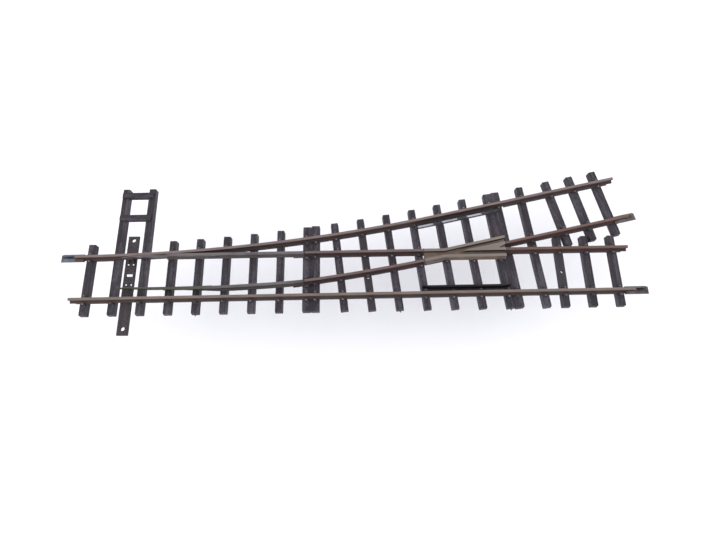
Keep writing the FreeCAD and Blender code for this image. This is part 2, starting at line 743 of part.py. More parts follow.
def straight_blade():
    """Blade that closes against the curved stock rail, shown closed."""
    rail = along_straight(rail_section(RAIL_OFFSET, BLADE_BASE), BLADE_FOOT_START_X, BLADE_HEEL_X)
    blade_plate = plate(
        [
            (BLADE_TIP_X, GAUGE_FACE - BLADE_TIP_EXTRA),
            (BLADE_TAPER_END_X, GAUGE_FACE),
            (BLADE_PLATE_END_X, GAUGE_FACE),
            (BLADE_PLATE_END_X, RAIL_OFFSET),
            (BLADE_TIP_X, RAIL_OFFSET),
        ],
        BLADE_BASE,
        RAIL_TOP,
    )
    blade = rail.fuse(blade_plate)
    for face in stock_envelopes(RAIL_OFFSET):
        blade = blade.cut(along_curve(face, 0, FROG_ANGLE))
    return blade.cut(tip_slope()).cut(stud_socket(PIVOT_Y_STRAIGHT)).removeSplitter()


def closed_curved_blade():
    """Blade that closes against the straight stock rail, in its closed place."""
    foot_start = curve_angle(OUTER_RADIUS, BLADE_FOOT_START_X)
    heel = curve_angle(OUTER_RADIUS, BLADE_HEEL_X)
    rail = along_curve(rail_section(-RAIL_OFFSET, BLADE_BASE), foot_start, heel)
    tip = curve_angle(OUTER_RADIUS, BLADE_TIP_X)
    plate_end = curve_angle(OUTER_RADIUS, BLADE_PLATE_END_X)
    plate_face = rectangle(-RAIL_OFFSET, -GAUGE_FACE + BLADE_TIP_EXTRA, BLADE_BASE, RAIL_TOP)
    blade = rail.fuse(along_curve(plate_face, tip, plate_end))
    for face in stock_envelopes(-RAIL_OFFSET):
        blade = blade.cut(along_straight(face, 0, STRAIGHT_LENGTH))
    return blade.cut(tip_slope()).cut(stud_socket(PIVOT_Y_CURVED)).removeSplitter()


def opened(shape):
    """A piece of the curved blade turned from its closed place to its open place."""
    copy = shape.copy()
    copy.rotate(Vector(PIVOT_X, PIVOT_Y_CURVED, 0), UP, -OPEN_ANGLE)
    return copy


def curved_blade():
    """Curved blade, shown open."""
    return opened(closed_curved_blade())


def heel_strap():
    """Metal strap under a blade's heel joint, drawn along X through the origin."""
    half = STRAP_WIDTH / 2
    z0 = RAIL_BASE - STRAP_THICKNESS
    return box(STRAP_START_X - PIVOT_X, STRAP_END_X - PIVOT_X, -half, half, z0, RAIL_BASE)


def heel_straps():
    """The two straps, in place."""
    heading = curve_heading(OUTER_RADIUS, PIVOT_X)
    return [
        placed(heel_strap(), PIVOT_X, PIVOT_Y_STRAIGHT, 0),
        placed(heel_strap(), PIVOT_X, PIVOT_Y_CURVED, heading),
    ]


def heel_stud(y):
    """Stud that a blade turns on, headed under its strap."""
    strap_bottom = RAIL_BASE - STRAP_THICKNESS
    head_bottom = strap_bottom - STUD_HEAD_THICKNESS
    head = Part.makeCylinder(STUD_HEAD_RADIUS, STUD_HEAD_THICKNESS, Vector(PIVOT_X, y, head_bottom))
    shank = Part.makeCylinder(STUD_RADIUS, STUD_TOP - strap_bottom, Vector(PIVOT_X, y, strap_bottom))
    return head.fuse(shank)


def straps_with_holes():
    """The two straps with the studs' holes."""
    straight, curved = heel_straps()
    return straight.cut(heel_stud(PIVOT_Y_STRAIGHT)), curved.cut(heel_stud(PIVOT_Y_CURVED))


def heel_studs():
    """The two studs."""
    return Part.makeCompound([heel_stud(PIVOT_Y_STRAIGHT), heel_stud(PIVOT_Y_CURVED)])


# ---- Fork clips and throwbar ----


def fork_clip():
    """Fork that hangs from a blade's gauge side: y = 0 is the gauge face, and -y points into the track."""
    shoulder_bottom = RAIL_BASE + FOOT_RISE
    half = FORK_SPREAD + FORK_FINGER / 2
    inner = -FORK_REACH
    knee = -FORK_KNEE
    finger_bottom = THROWBAR_TOP + FORK_LIFT
    prong_bottom = THROWBAR_TOP - THROWBAR_THICKNESS - FORK_LIFT
    pieces = [box(-half, half, knee, 0, shoulder_bottom, shoulder_bottom + FORK_WALL)]
    for centre in (-FORK_SPREAD, FORK_SPREAD):
        x0 = centre - FORK_FINGER / 2
        x1 = centre + FORK_FINGER / 2
        pieces.append(box(x0, x1, knee, knee + FORK_WALL, finger_bottom, shoulder_bottom + FORK_WALL))
        pieces.append(box(x0, x1, inner, knee + FORK_WALL, finger_bottom, finger_bottom + FORK_WALL))
        pieces.append(box(x0, x1, inner, inner + FORK_PRONG, prong_bottom, finger_bottom + FORK_WALL))
    return joined(pieces)


def straight_blade_clip():
    """Fork clip of the straight blade."""
    share = (THROWBAR_X - BLADE_TIP_X) / (BLADE_TAPER_END_X - BLADE_TIP_X)
    face_y = GAUGE_FACE - BLADE_TIP_EXTRA * (1 - share)
    return placed(fork_clip(), THROWBAR_X, face_y, 0)


def closed_curved_blade_clip():
    """Fork clip of the curved blade, with the blade closed."""
    fork = fork_clip().mirror(Vector(0, 0, 0), Vector(0, 1, 0))
    radius = CURVE_RADIUS + GAUGE_FACE - BLADE_TIP_EXTRA
    return placed(fork, THROWBAR_X, curve_y(radius, THROWBAR_X), curve_heading(radius, THROWBAR_X))


def curved_blade_clip():
    """Fork clip of the curved blade, shown open."""
    return opened(closed_curved_blade_clip())


def prong_slots(prong_end, inward):
    """Slots for a fork's two prongs, whose ends point into the track at y = prong_end."""
    far = prong_end + inward * (FORK_SLOT_LENGTH - FORK_PRONG - FORK_SLOT_CLEARANCE)
    near = prong_end - inward * (FORK_PRONG + FORK_SLOT_CLEARANCE)
    half = FORK_SLOT_WIDTH / 2
    slots = []
    for x in (THROWBAR_X - FORK_SPREAD, THROWBAR_X + FORK_SPREAD):
        slots.append(box(x - half, x + half, min(near, far), max(near, far), 0, SLEEPER_HEIGHT))
    return slots


def throwbar():
    """Bar under the rails that moves both blades, with holes for a drive."""
    half = THROWBAR_WIDTH / 2
    z0 = THROWBAR_TOP - THROWBAR_THICKNESS
    bar = box(THROWBAR_X - half, THROWBAR_X + half, THROWBAR_NEAR_END, THROWBAR_FAR_END, z0, THROWBAR_TOP)
    for y in (FAR_DRIVE_HOLE_Y, NEAR_DRIVE_HOLE_Y):
        bar = bar.cut(Part.makeCylinder(DRIVE_HOLE_RADIUS, 2, Vector(THROWBAR_X, y, 0)))
    x = DRIVE_SLOT_LENGTH / 2
    y = DRIVE_SLOT_WIDTH / 2
    bar = bar.cut(box(THROWBAR_X - x, THROWBAR_X + x, DRIVE_SLOT_Y - y, DRIVE_SLOT_Y + y, 0, SLEEPER_HEIGHT))
    slots = prong_slots(straight_blade_clip().BoundBox.YMin, -1)
    slots += prong_slots(curved_blade_clip().BoundBox.YMax, 1)
    for slot in slots:
        bar = bar.cut(slot)
    return bar


# ---- Rail joiners and bond wires ----


def joiner(start, end, y, open_end):
    """Folded sheet-metal joiner round a rail's foot: its floor runs on as a tongue at its open end."""
    foot = FOOT_WIDTH / 2 + JOINER_CLEARANCE
    wall = foot + JOINER_WALL
    bottom = RAIL_BASE - JOINER_WALL
    inside_top = RAIL_BASE + FOOT_RISE + JOINER_CLEARANCE
    top = inside_top + JOINER_WALL
    outline = [
        (y - wall, bottom),
        (y + wall, bottom),
        (y + wall, top - JOINER_WALL),
        (y + JOINER_MOUTH, top + JOINER_WALL / 2),
        (y + JOINER_MOUTH, inside_top),
        (y + foot, inside_top - JOINER_WALL / 2),
        (y + foot, RAIL_BASE),
        (y - foot, RAIL_BASE),
        (y - foot, inside_top - JOINER_WALL / 2),
        (y - JOINER_MOUTH, inside_top),
        (y - JOINER_MOUTH, top + JOINER_WALL / 2),
        (y - wall, top - JOINER_WALL),
    ]
    body = along_straight(section(outline), start, end)
    outside = open_end + math.copysign(1, open_end - (start + end) / 2)
    inside = open_end - math.copysign(JOINER_TONGUE, outside - open_end)
    cut = box(min(inside, outside), max(inside, outside), y - 2, y + 2, RAIL_BASE, RAIL_TOP)
    return body.cut(cut)


def toe_rail_joiner():
    """Joiner on the curved stock rail at the toe."""
    start = -TOE_JOINER_OVERHANG
    return joiner(start, start + JOINER_LENGTH, RAIL_OFFSET, start)


def straight_heel_joiner():
    """Joiner on the straight stock rail at the heel."""
    end = STRAIGHT_LENGTH + JOINER_OVERHANG
    return joiner(end - JOINER_LENGTH, end, -RAIL_OFFSET, end)


def diverging_heel_joiner():
    """Joiner on the diverging exit rail, pushed over the last sleeper."""
    end = DIVERGING_TAIL + SHORT_JOINER_OVERHANG
    body = joiner(end - JOINER_LENGTH, end, -RAIL_OFFSET, end)
    body.rotate(CENTRE, UP, FROG_ANGLE)
    return body


def diverging_joiner_envelope():
    """Room for the diverging joiner in the last sleeper."""
    end = DIVERGING_TAIL + SHORT_JOINER_OVERHANG
    half = FOOT_WIDTH / 2 + JOINER_WALL + 4 * JOINER_CLEARANCE
    face = rectangle(-RAIL_OFFSET - half, -RAIL_OFFSET + half, RAIL_BASE - JOINER_WALL, RAIL_TOP)
    return along_tail(face, end - JOINER_LENGTH - 0.1, end)


def bond_runs():
    """Start and end of each bond wire, from a stock rail to its closure rail."""
    x = CLOSURE_SLEEPERS[0].x
    return [(x, -RAIL_OFFSET, curve_y(OUTER_RADIUS, x)), (x, RAIL_OFFSET, curve_y(INNER_RADIUS, x))]


def bond_wires(radius):
    """Wires that feed the closure rails from the stock rails, under the first closure sleeper."""
    wires = []
    for x, y0, y1 in bond_runs():
        rise = RAIL_BASE - BOND_DEPTH
        wires.append(
            joined(
                [
                    Part.makeCylinder(radius, rise, Vector(x, y0, BOND_DEPTH)),
                    Part.makeCylinder(radius, rise, Vector(x, y1, BOND_DEPTH)),
                    Part.makeCylinder(radius, y1 - y0, Vector(x, y0, BOND_DEPTH), Vector(0, 1, 0)),
                    Part.makeSphere(radius, Vector(x, y0, BOND_DEPTH)),
                    Part.makeSphere(radius, Vector(x, y1, BOND_DEPTH)),
                ]
            )
        )
    return wires


def bond_grooves():
    """Grooves in the underside that the bond wires lie in."""
    half = BOND_RADIUS + BOND_CLEARANCE
    return [box(x - half, x + half, y0 - half, y1 + half, -1, BOND_DEPTH) for x, y0, y1 in bond_runs()]


def parts():
    """Every sub-part by name."""
    straight_strap, curved_strap = straps_with_holes()
    return {
        "toe_sleeper_base": toe_sleeper_base(),
        "closure_sleeper_base": closure_sleeper_base(),
        "heel_sleeper_base": heel_sleeper_base(),
        "straight_stock_rail": straight_stock_rail(),
        "curved_stock_rail": curved_stock_rail(),
        "straight_closure_rail": straight_closure_rail(),
        "curved_closure_rail": curved_closure_rail(),
        "frog_casting": frog_casting(),
        "frog_toe_insulators": frog_toe_insulators(),
        "frog_heel_insulators": frog_heel_insulators(),
        "straight_exit_rail": straight_exit_rail(),
        "diverging_exit_rail": diverging_exit_rail(),
        "straight_check_rail": straight_check_rail(),
        "curved_check_rail": curved_check_rail(),
        "straight_heel_strap": straight_strap,
        "curved_heel_strap": curved_strap,
        "heel_studs": heel_studs(),
        "toe_rail_joiner": toe_rail_joiner(),
        "straight_heel_joiner": straight_heel_joiner(),
        "diverging_heel_joiner": diverging_heel_joiner(),
        "bond_wires": Part.makeCompound(bond_wires(BOND_RADIUS)),
        "throwbar": throwbar(),
        "straight_blade": straight_blade(),
        "straight_blade_clip": straight_blade_clip(),
        "curved_blade": curved_blade(),
        "curved_blade_clip": curved_blade_clip(),
    }


def main():
    """Writes one STEP file per sub-part and prints what each holds."""
    os.makedirs("parts", exist_ok=True)
    for name, shape in parts().items():
        shape.exportStep(f"parts/{name}.step")
        size = f"solids {len(shape.Solids)} volume {shape.Volume:8.3f}"
        print(f"{name:24s} {size} valid {shape.isValid()}")
    print(f"throwbar x {THROWBAR_X:.3f}  pivots y {PIVOT_Y_STRAIGHT:.3f} {PIVOT_Y_CURVED:.3f}")
    print(f"blade lever {BLADE_LEVER:.3f}  open angle {OPEN_ANGLE:.4f} degrees")


main()
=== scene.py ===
import json
import math
import random

import bmesh
import bpy
from mathutils import Matrix, Vector

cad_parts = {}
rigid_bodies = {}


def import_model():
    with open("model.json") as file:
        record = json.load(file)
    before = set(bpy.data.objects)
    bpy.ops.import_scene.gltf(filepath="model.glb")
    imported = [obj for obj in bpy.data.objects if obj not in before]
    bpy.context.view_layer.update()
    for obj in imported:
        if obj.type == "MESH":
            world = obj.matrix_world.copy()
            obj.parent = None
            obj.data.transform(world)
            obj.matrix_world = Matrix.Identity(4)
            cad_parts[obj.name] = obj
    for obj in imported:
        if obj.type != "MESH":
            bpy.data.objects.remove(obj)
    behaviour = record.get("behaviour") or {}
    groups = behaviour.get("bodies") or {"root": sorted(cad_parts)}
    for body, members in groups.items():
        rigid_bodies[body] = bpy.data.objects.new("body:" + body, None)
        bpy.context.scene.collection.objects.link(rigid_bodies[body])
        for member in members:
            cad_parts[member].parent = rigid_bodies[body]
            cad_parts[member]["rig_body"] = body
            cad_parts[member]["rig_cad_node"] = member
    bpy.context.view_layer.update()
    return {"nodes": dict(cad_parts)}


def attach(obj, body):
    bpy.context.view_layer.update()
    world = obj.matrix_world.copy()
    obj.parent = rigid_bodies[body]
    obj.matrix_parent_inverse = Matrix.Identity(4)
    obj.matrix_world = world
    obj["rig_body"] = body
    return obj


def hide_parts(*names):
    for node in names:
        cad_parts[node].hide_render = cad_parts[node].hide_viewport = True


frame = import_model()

MM = 0.001


# ---- Camera ----
# Looks down on the turnout from the near side, square to the straight route, as on a copy stand.
# A fairly short lens close to the track spreads its ends a little.

AIM = Vector((82.46, 1.23, 0.0)) * MM
CAMERA_DISTANCE = 164.86 * MM
CAMERA_AZIMUTH = math.radians(-1.39)
CAMERA_ELEVATION = math.radians(69.85)
CAMERA_ROLL = math.radians(0.239)
CAMERA_LENS = 28.137
SENSOR_WIDTH = 36

back = Vector(
    (
        math.sin(CAMERA_AZIMUTH) * math.cos(CAMERA_ELEVATION),
        -math.cos(CAMERA_AZIMUTH) * math.cos(CAMERA_ELEVATION),
        math.sin(CAMERA_ELEVATION),
    )
)
right = Vector((math.cos(CAMERA_AZIMUTH), math.sin(CAMERA_AZIMUTH), 0))
up = back.cross(right)
rolled_right = right * math.cos(CAMERA_ROLL) + up * math.sin(CAMERA_ROLL)
rolled_up = up * math.cos(CAMERA_ROLL) - right * math.sin(CAMERA_ROLL)

camera_data = bpy.data.cameras.new("camera")
camera_data.sensor_width = SENSOR_WIDTH
camera_data.lens = CAMERA_LENS
camera_data.clip_start = 5 * MM
camera = bpy.data.objects.new("camera", camera_data)
bpy.context.scene.collection.objects.link(camera)
camera.matrix_world = Matrix.Translation(AIM + back * CAMERA_DISTANCE) @ Matrix(
    (rolled_right, rolled_up, back)
).transposed().to_4x4()
bpy.context.scene.camera = camera


# ---- Table top ----
# Matt white laminate, which the light tent burns out almost to paper white.
# The turnout is held a little above it, so light gets in under the sleepers.

TABLE_DROP = 18 * MM
TABLE_SIZE = 2.4


class Wire:
    """One socket in a node tree. Arithmetic on it adds Math nodes, and node() adds any other."""

    def __init__(self, tree, socket):
        self.tree = tree
        self.socket = socket

    def node(self, kind, settings, values, output=0):
        """Adds a node with its settings and its sockets' values or wires, and returns an output."""
        made = self.tree.nodes.new(kind)
        for name, value in settings.items():
            setattr(made, name, value)
        for name, value in values.items():
            if isinstance(value, Wire):
                self.tree.links.new(value.socket, made.inputs[name])
            else:
                made.inputs[name].default_value = value
        return Wire(self.tree, made.outputs[output])

    def part(self, axis):
        """One number of a vector: axis 0, 1 or 2 for X, Y or Z."""
        return self.node("ShaderNodeSeparateXYZ", {}, {"Vector": self}, output=axis)

    def math(self, operation, first, second):
        return self.node("ShaderNodeMath", {"operation": operation}, {0: first, 1: second})

    def __add__(self, other):
        return self.math("ADD", self, other)

    def __radd__(self, other):
        return self.math("ADD", other, self)

    def __sub__(self, other):
        return self.math("SUBTRACT", self, other)

    def __rsub__(self, other):
        return self.math("SUBTRACT", other, self)

    def __mul__(self, other):
        return self.math("MULTIPLY", self, other)

    def __rmul__(self, other):
        return self.math("MULTIPLY", other, self)

    def between(self, low, high):
        """0 where the value is at low, 1 where it is at high, smooth and clamped between them."""
        settings = {"interpolation_type": "SMOOTHSTEP"}
        return self.node("ShaderNodeMapRange", settings, {"Value": self, "From Min": low, "From Max": high})

    def noise(self, scale, detail, stretch=(1, 1, 1), roughness=0.55):
        """Noise with features 1 / scale metres apart, drawn out along each axis whose stretch is small."""
        spread = self.node("ShaderNodeMapping", {}, {"Vector": self, "Scale": stretch})
        values = {"Vector": spread, "Scale": scale, "Detail": detail, "Roughness": roughness}
        return self.node("ShaderNodeTexNoise", {}, values)

    def blend(self, first, second):
        """Colour mixed by this wire: the first where it is 0, the second where it is 1."""
        colours = [c if isinstance(c, Wire) else (*c, 1) for c in (first, second)]
        factor, colour_a, colour_b = 0, 6, 7
        values = {factor: self, colour_a: colours[0], colour_b: colours[1]}
        return self.node("ShaderNodeMix", {"data_type": "RGBA"}, values, output=2)

    def bump(self, depth):
        """Normal of a surface raised by this wire times depth, in metres."""
        return self.node("ShaderNodeBump", {}, {"Height": self, "Distance": depth})


def finish(name, **constants):
    """A new material: itself, its shader, and a wire with Object coordinates in metres."""
    material = bpy.data.materials.new(name)
    material.use_nodes = True
    shader = material.node_tree.nodes["Principled BSDF"]
    for socket, value in constants.items():
        shader.inputs[socket.replace("_", " ")].default_value = value
    coordinates = material.node_tree.nodes.new("ShaderNodeTexCoord")
    return material, shader, Wire(material.node_tree, coordinates.outputs["Object"])


def wear(shader, **wires):
    """Feeds a shader's sockets from wires."""
    for name, wire in wires.items():
        wire.tree.links.new(wire.socket, shader.inputs[name.replace("_", " ")])


def coat(obj, material):
    """Gives an object one material all over."""
    obj.data.materials.clear()
    obj.data.materials.append(material)
    return obj


def white_laminate():
    """Matt white table top with a very faint mottle."""
    material, shader, place = finish("white_laminate", Roughness=0.62)
    mottle = place.noise(60, detail=2)
    wear(shader, Base_Color=mottle.blend((0.945, 0.945, 0.985), (0.97, 0.97, 1.0)))
    return material


bpy.ops.object.select_all(action="DESELECT")
bpy.ops.mesh.primitive_plane_add(size=TABLE_SIZE, location=(0.08, 0, -TABLE_DROP))
table = bpy.context.object
table.name = "table_top"
coat(table, white_laminate())


# ---- Lights ----
# A white light tent, brightest low round its walls and dimmer overhead where the camera looks in.
# Two broad lamps, left and right, give the rails a little shape.

TENT_STRENGTH = 1.12
LAMP_SIZE = 0.5
LAMP_TARGET = Vector((0.08, 0.005, 0))

world = bpy.data.worlds.new("light_tent")
bpy.context.scene.world = world
world.use_nodes = True
tent_light = world.node_tree.nodes["Background"]
tent_light.inputs["Strength"].default_value = TENT_STRENGTH
tent_place = Wire(world.node_tree, world.node_tree.nodes.new("ShaderNodeTexCoord").outputs["Generated"])
tent_wall = tent_place.part(2).between(0.15, 0.95).blend((1.42, 1.42, 1.46), (0.66, 0.66, 0.69))
world.node_tree.links.new(tent_wall.socket, tent_light.inputs["Color"])

for name, place, power in (
    ("left_lamp", (-0.55, -0.10, 0.28), 2.4),
    ("right_lamp", (0.72, 0.20, 0.28), 1.6),
):
    lamp_data = bpy.data.lights.new(name, "AREA")
    lamp_data.size = LAMP_SIZE
    lamp_data.energy = power
    lamp = bpy.data.objects.new(name, lamp_data)
    bpy.context.scene.collection.objects.link(lamp)
    lamp.location = place
    lamp.rotation_euler = (LAMP_TARGET - Vector(place)).to_track_quat("-Z", "Y").to_euler()

bpy.context.scene.view_settings.view_transform = "Standard"


# ---- Sleeper mouldings ----
# Three black-brown polyamide mouldings carry the rails and meet at the two pairs of touching sleepers.
# Each is one piece: sleepers with sawn grain, webs under the rails, and rail clips with bolt heads.
# They follow the track plan: a straight route along X, and an arc that turns left into a straight tail.

GAUGE = 12.0 * MM
HEAD = 0.8 * MM
RAIL = (GAUGE + HEAD) / 2
RADIUS = 515.0 * MM
TURN = math.radians(12.0)
ROUTE_LENGTH = 159.0 * MM
TAIL_LENGTH = 53.9 * MM
CORRECTIONS = 12


def diverging_point(offset, x):
    """Point and heading where the line this far left of the diverging route's centre reaches x."""
    radius = RADIUS - offset
    if x <= radius * math.sin(TURN):
        heading = math.asin(x / radius)
        return Vector((x, RADIUS - radius * math.cos(heading), 0)), heading
    past = x - radius * math.sin(TURN)
    return Vector((x, RADIUS - radius * math.cos(TURN) + past * math.tan(TURN), 0)), TURN


def straight_point(offset, x):
    """Point and heading at x of the line this far left of the straight route's centre."""
    return Vector((x, offset, 0)), 0.0


def crossing(sleeper, line, offset):
    """Point and heading where a sleeper's centre line crosses a rail's line, found by a few corrections."""
    x, y, tilt = sleeper[:3]
    point_x = x
    for _ in range(CORRECTIONS):
        point, heading = line(offset, point_x)
        point_x = x - (point.y - y) * math.tan(tilt)
    return point, heading


SLEEPER_WIDTH = 2.35 * MM
SLEEPER_TOP = 1.95 * MM
SLEEPER_HEIGHT = 2.0 * MM
TWIN_WIDTH = 2.44 * MM
GRAIN_COLUMNS = 7
GROOVE = 0.055 * MM
UNEVEN = 0.035 * MM
END_ROUNDING = 0.4 * MM


def grained_plastic():
    """Dark purple-brown plastic with moulded wood grain that runs along each sleeper."""
    material, shader, place = finish("grained_plastic", Specular_IOR_Level=0.3)
    grain = place.node("ShaderNodeAttribute", {"attribute_name": "grain"}, {}, output=1)
    streak = grain.noise(900, detail=4, stretch=(1, 0.07, 0.35), roughness=0.62)
    fleck = grain.noise(2600, detail=2, stretch=(1, 0.35, 1))
    patch = place.noise(160, detail=2)
    tint = patch.between(0.35, 0.68).blend((0.021, 0.017, 0.024), (0.028, 0.022, 0.027))
    dusty = (streak * 1.1 + fleck * 0.5).between(0.70, 1.00) * 0.8
    wear(
        shader,
        Base_Color=dusty.blend(tint, (0.082, 0.073, 0.090)),
        Roughness=0.5 + 0.22 * streak,
        Normal=(streak * 0.7 + fleck * 0.3).bump(0.09 * MM),
    )
    return material


def pick(obj, test):
    """Selects, in edit mode, just the vertices whose place passes a test."""
    mesh = bmesh.from_edit_mesh(obj.data)
    for vertex in mesh.verts:
        vertex.select = test(vertex.co)
    mesh.select_flush_mode()
    bmesh.update_edit_mesh(obj.data)


def block(x0, x1, y0, y1, z0, z1):
    """Starts a piece from a cube with these sides, in object mode."""
    bpy.ops.object.select_all(action="DESELECT")
    middle = ((x0 + x1) / 2, (y0 + y1) / 2, (z0 + z1) / 2)
    bpy.ops.mesh.primitive_cube_add(size=1, location=middle, scale=(x1 - x0, y1 - y0, z1 - z0))
    bpy.ops.object.transform_apply(location=True, rotation=False, scale=True)
    return bpy.context.object


def round_edges(obj, width, segments):
    """Bevels every edge sharper than about 29 degrees."""
    bevel = obj.modifiers.new("edges", "BEVEL")
    bevel.width = width
    bevel.segments = segments
    bevel.limit_method = "ANGLE"
    bevel.angle_limit = 0.5
    bpy.context.view_layer.objects.active = obj
    bpy.ops.object.modifier_apply(modifier="edges")
    return obj


def place_piece(obj, x, y, heading):
    """Turns a piece about the origin and moves it in plan, leaving its object at the origin."""
    obj.data.transform(Matrix.Translation((x, y, 0)) @ Matrix.Rotation(heading, 4, "Z"))
    obj.data.update()
    return obj


def copy_piece(obj):
    """A second object with its own mesh."""
    copy = obj.copy()
    copy.data = obj.data.copy()
    bpy.context.scene.collection.objects.link(copy)
    return copy


def join_pieces(name, pieces):
    """Joins objects into one, named."""
    bpy.ops.object.select_all(action="DESELECT")
    for piece in pieces:
        piece.select_set(True)
    bpy.context.view_layer.objects.active = pieces[0]
    bpy.ops.object.join()
    joined = bpy.context.object
    joined.name = name
    joined.data.name = name
    return joined


def mark_grain(obj, along_x=False, seed=0):
    """Stores each vertex's own place, with the grain's length as Y, before the piece is moved."""
    shift = Vector((seed * 0.37, seed * 0.11, 0))
    grain = obj.data.attributes.new("grain", "FLOAT_VECTOR", "POINT")
    for vertex, entry in zip(obj.data.vertices, grain.data):
        entry.vector = (vertex.co.yxz if along_x else vertex.co) + shift
    return obj


def sawn_timber(length, width, height, seed, draft=SLEEPER_TOP / SLEEPER_WIDTH, crease=0.45):
    """A timber along Y from y = 0, with grain grooves on top, uneven faces and softened ends."""
    timber = block(-width / 2, width / 2, 0, length, 0, height)
    dice = random.Random(seed)
    levels = GRAIN_COLUMNS + 1
    column = width / levels
    row = length / levels
    top = height - MM / 100
    grooved = dice.sample(range(-3, 4), 3)
    bpy.ops.object.mode_set(mode="EDIT")
    bpy.ops.mesh.subdivide(number_cuts=GRAIN_COLUMNS)
    for end, inward in ((0, 1), (length, -1)):
        pick(timber, lambda co: abs(co.y - end - inward * row) < row / 4)
        bpy.ops.transform.translate(value=(0, inward * (END_ROUNDING - row), 0))
    for level in range(1, levels + 1):
        pick(timber, lambda co: abs(co.z - height * level / levels) < height / levels / 4)
        narrowed = 1 - (1 - draft) * level / levels
        bpy.ops.transform.resize(value=(narrowed, 1, 1), center_override=(0, 0, 0))
    for index in grooved:
        pick(timber, lambda co: co.z > top and abs(co.x / draft - index * column) < column / 4)
        bpy.ops.transform.translate(value=(0, 0, -GROOVE * dice.uniform(0.6, 1.3)))
    pick(timber, lambda co: co.z > top and abs(co.x) > width * draft / 2 - MM / 100)
    bpy.ops.transform.edge_crease(value=crease)
    pick(timber, lambda co: co.z > height / 2)
    bpy.ops.transform.vertex_random(offset=UNEVEN, uniform=0, normal=0, seed=seed)
    pick(timber, lambda co: co.z > height / 2)
    bpy.ops.transform.translate(value=(0, 0, -UNEVEN))
    bpy.ops.object.mode_set(mode="OBJECT")
    smooth = timber.modifiers.new("smooth", "SUBSURF")
    smooth.levels = 1
    smooth.render_levels = 1
    bpy.ops.object.modifier_apply(modifier="smooth")
    bpy.ops.object.shade_smooth_by_angle(angle=math.radians(50))
    return coat(mark_grain(timber, seed=seed), sleeper_plastic)


HALF_SLEEPER = 10.75 * MM
PITCH = 7.83 * MM
FIRST_SLEEPER = 3.7 * MM
TWIN_STEP = 2.45 * MM
SKEW = TURN / 2
TAIL_PITCH = 7.45 * MM
TAIL_FIRST = 4.5 * MM
HEADBLOCK_END = 28.75 * MM


def crosswise(x, tilt=0.0, far_y=None):
    """A sleeper crossing the straight stock rail at x: its place, tilt, near length and far length."""
    near = (HALF_SLEEPER - RAIL) / math.cos(tilt)
    sleeper = (x, -RAIL, tilt)
    if far_y is None:
        end, _ = crossing(sleeper, diverging_point, HALF_SLEEPER)
        far_y = end.y
    return (*sleeper, near, (far_y + RAIL) / math.cos(tilt))


def tail_sleeper(distance):
    """A sleeper square to the diverging tail, placed on the tail's right-hand rail."""
    radius = RADIUS + RAIL
    x = distance * math.cos(TURN) + radius * math.sin(TURN)
    y = RADIUS + distance * math.sin(TURN) - radius * math.cos(TURN)
    return (x, y, TURN, HALF_SLEEPER - RAIL, HALF_SLEEPER + RAIL)


CLIP_FOOT = 0.85 * MM
LOOSE_FOOT = 1.06 * MM
CLIP_SPREAD = 0.27 * MM
JAW_HALF = 0.25 * MM
JAW_HEIGHT = 0.74 * MM
BOLT_RADIUS = 0.2 * MM


def bolt_highlight():
    """Bolt heads painted a lighter, slightly olive shade than the rest of the moulding: a painted highlight
    for the glints on the clips.
    """
    material, shader, place = finish("bolt_highlight", Roughness=0.4)
    rub = place.noise(1500, detail=2)
    # Painted highlight: the light olive patches on the bolt heads stand in for glints of light on the
    # clips.
    wear(shader, Base_Color=rub.between(0.4, 0.6).blend((0.040, 0.034, 0.030), (0.30, 0.26, 0.20)))
    return material


sleeper_plastic = grained_plastic()
painted_bolt_highlight = bolt_highlight()


def rail_clip(sides, foot=CLIP_FOOT):
    """Base plate and moulded clips with bolt heads, for a rail along X through the origin."""
    top = SLEEPER_HEIGHT
    shoulder = top + 0.3 * MM
    reach = foot + 0.7 * MM
    near, far = reach * min(0, *sides), reach * max(0, *sides)
    plate = block(-0.6 * MM, 0.6 * MM, near, far, top - 0.2 * MM, top + 0.08 * MM)
    pieces = [coat(round_edges(plate, 0.04 * MM, 1), sleeper_plastic)]
    for side in sides:
        y = side * (foot + CLIP_SPREAD)
        jaw = block(-0.5 * MM, 0.5 * MM, y - JAW_HALF, y + JAW_HALF, top, top + JAW_HEIGHT)
        bpy.ops.object.mode_set(mode="EDIT")
        pick(jaw, lambda co: co.z > shoulder and co.y * side < y * side)
        bpy.ops.transform.translate(value=(0, -side * 0.2 * MM, 0))
        pick(jaw, lambda co: co.z > shoulder and co.y * side > y * side)
        bpy.ops.transform.translate(value=(0, -side * 0.1 * MM, -0.2 * MM))
        bpy.ops.object.mode_set(mode="OBJECT")
        pieces.append(coat(round_edges(jaw, 0.07 * MM, 2), sleeper_plastic))
        head = (0, y + side * 0.04 * MM, top + 0.6 * MM)
        bpy.ops.mesh.primitive_cylinder_add(vertices=6, radius=BOLT_RADIUS, depth=0.3 * MM, location=head)
        bpy.ops.object.transform_apply(location=True, rotation=False, scale=True)
        pieces.append(coat(round_edges(bpy.context.object, 0.05 * MM, 1), painted_bolt_highlight))
    return mark_grain(join_pieces("clip", pieces))


CLIPS = {sides: rail_clip(sides) for sides in ((-1, 1), (-1,), (1,))}
CLIPS["loose"] = rail_clip((-1, 1), LOOSE_FOOT)


def clips_at(sleepers, line, offset, sides=(-1, 1)):
    """Clips of one rail on several sleepers."""
    found = []
    for sleeper in sleepers:
        point, heading = crossing(sleeper, line, offset)
        found.append(place_piece(copy_piece(CLIPS[sides]), point.x, point.y, heading))
    return found


WEB_HALF = 0.65 * MM
WEB_BOTTOM = 0.7 * MM
WEB_SINK = 0.05 * MM
WEB_STEP = 4 * MM


